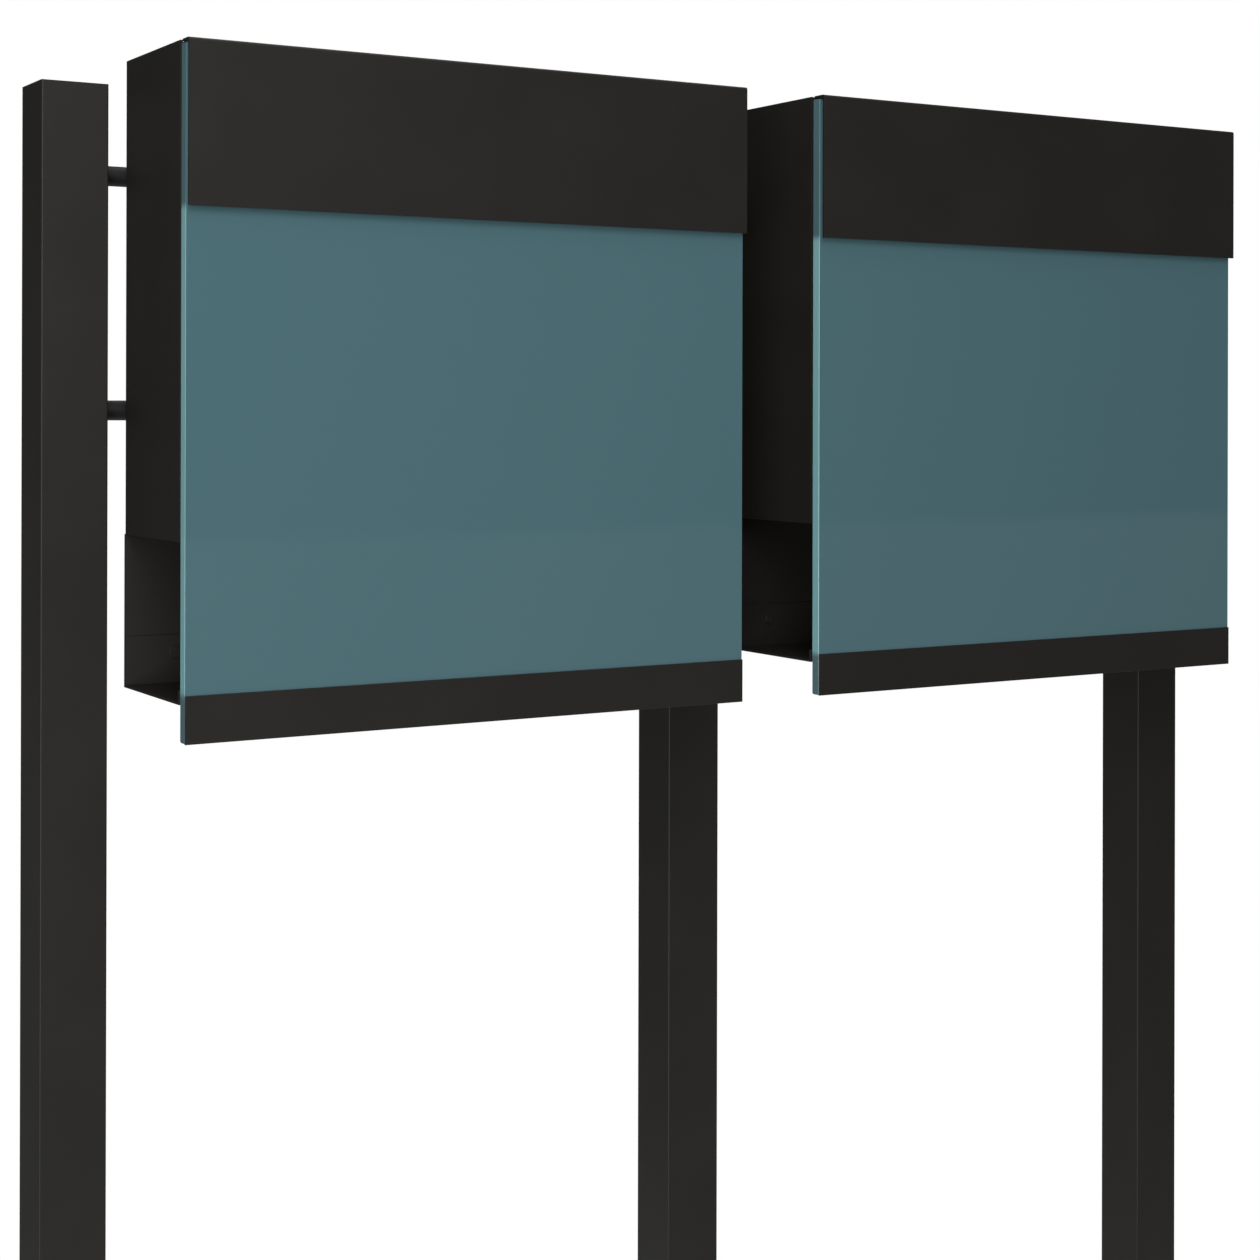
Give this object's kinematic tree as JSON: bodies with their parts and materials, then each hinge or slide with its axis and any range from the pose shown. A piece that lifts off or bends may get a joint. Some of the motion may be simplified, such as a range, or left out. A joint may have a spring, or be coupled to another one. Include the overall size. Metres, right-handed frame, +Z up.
{
  "type": "post box",
  "caption": "Free-standing letter box unit with glass-fronted boxes on square posts, lift-up letter flaps, side-hinged doors and open newspaper compartments.",
  "frame": {"origin": "on the ground, in the middle of the overall footprint", "axes": "+X to the right seen from the front, +Y towards the back (the fronts face -Y), +Z up"},
  "size_m": [1.02, 0.2, 1.214],
  "materials": {
    "anthracite_coat": "matt fine-grain powder coat",
    "black_rod": "satin black coat",
    "petrol_glass": "polished glass lacquered on its back",
    "zinc": "zinc plated",
    "nickel": "nickel plated",
    "black_rubber": "matt",
    "black_tape": "closed-cell foam tape"
  },
  "bodies": {
    "stand": {"left_post": "anthracite_coat", "left_post_cap": "anthracite_coat", "left_base_plate": "anthracite_coat", "middle_post": "anthracite_coat", "middle_post_cap": "anthracite_coat", "middle_base_plate": "anthracite_coat", "right_post": "anthracite_coat", "right_post_cap": "anthracite_coat", "right_base_plate": "anthracite_coat", "upper_cross_rod": "black_rod", "lower_cross_rod": "black_rod", "rod_set_screws": "zinc", "left_housing": "anthracite_coat", "left_mail_floor": "anthracite_coat", "left_newspaper_tray": "anthracite_coat", "left_tray_rivets": "anthracite_coat", "left_rod_clamps": "black_rod", "left_clamp_screws": "zinc", "left_lock_keeper": "zinc", "left_wall_hinge_leaf": "zinc", "left_door_hinge_pin": "zinc", "right_housing": "anthracite_coat", "right_mail_floor": "anthracite_coat", "right_newspaper_tray": "anthracite_coat", "right_tray_rivets": "anthracite_coat", "right_rod_clamps": "black_rod", "right_clamp_screws": "zinc", "right_lock_keeper": "zinc", "right_wall_hinge_leaf": "zinc", "right_door_hinge_pin": "zinc"},
    "left_door": {"left_door_hinge_leaf": "zinc", "left_door_pan": "anthracite_coat", "left_bonding_tape": "black_tape", "left_glass_front": "petrol_glass", "left_bottom_strip": "anthracite_coat", "left_flap_hinge_pins": "zinc", "left_lock_body": "nickel", "left_lock_nut": "zinc"},
    "left_flap": {"left_flap": "anthracite_coat", "left_flap_bumpers": "black_rubber"},
    "left_lock": {"left_lock_core": "nickel", "left_lock_cam": "zinc", "left_cam_screw": "zinc"},
    "right_door": {"right_door_hinge_leaf": "zinc", "right_door_pan": "anthracite_coat", "right_bonding_tape": "black_tape", "right_glass_front": "petrol_glass", "right_bottom_strip": "anthracite_coat", "right_flap_hinge_pins": "zinc", "right_lock_body": "nickel", "right_lock_nut": "zinc"},
    "right_flap": {"right_flap": "anthracite_coat", "right_flap_bumpers": "black_rubber"},
    "right_lock": {"right_lock_core": "nickel", "right_lock_cam": "zinc", "right_cam_screw": "zinc"}
  },
  "joints": [
    {"name": "left_door_swing", "type": "hinge", "parent": "stand", "child": "left_door", "pos_m": [-0.033, -0.0826, 1.079], "axis": [0, 0, 1], "range_deg": [0, 110]},
    {"name": "left_flap_lift", "type": "hinge", "parent": "left_door", "child": "left_flap", "pos_m": [-0.215, -0.0825, 1.2099], "axis": [-1, 0, 0], "range_deg": [0, 90]},
    {"name": "left_lock_turn", "type": "hinge", "parent": "left_door", "child": "left_lock", "pos_m": [-0.37, -0.086, 1.142], "axis": [0, 1, 0], "range_deg": [0, 90]},
    {"name": "right_door_swing", "type": "hinge", "parent": "stand", "child": "right_door", "pos_m": [0.397, -0.0826, 1.079], "axis": [0, 0, 1], "range_deg": [0, 110]},
    {"name": "right_flap_lift", "type": "hinge", "parent": "right_door", "child": "right_flap", "pos_m": [0.215, -0.0825, 1.2099], "axis": [-1, 0, 0], "range_deg": [0, 90]},
    {"name": "right_lock_turn", "type": "hinge", "parent": "right_door", "child": "right_lock", "pos_m": [0.06, -0.086, 1.142], "axis": [0, 1, 0], "range_deg": [0, 90]}
  ]
}
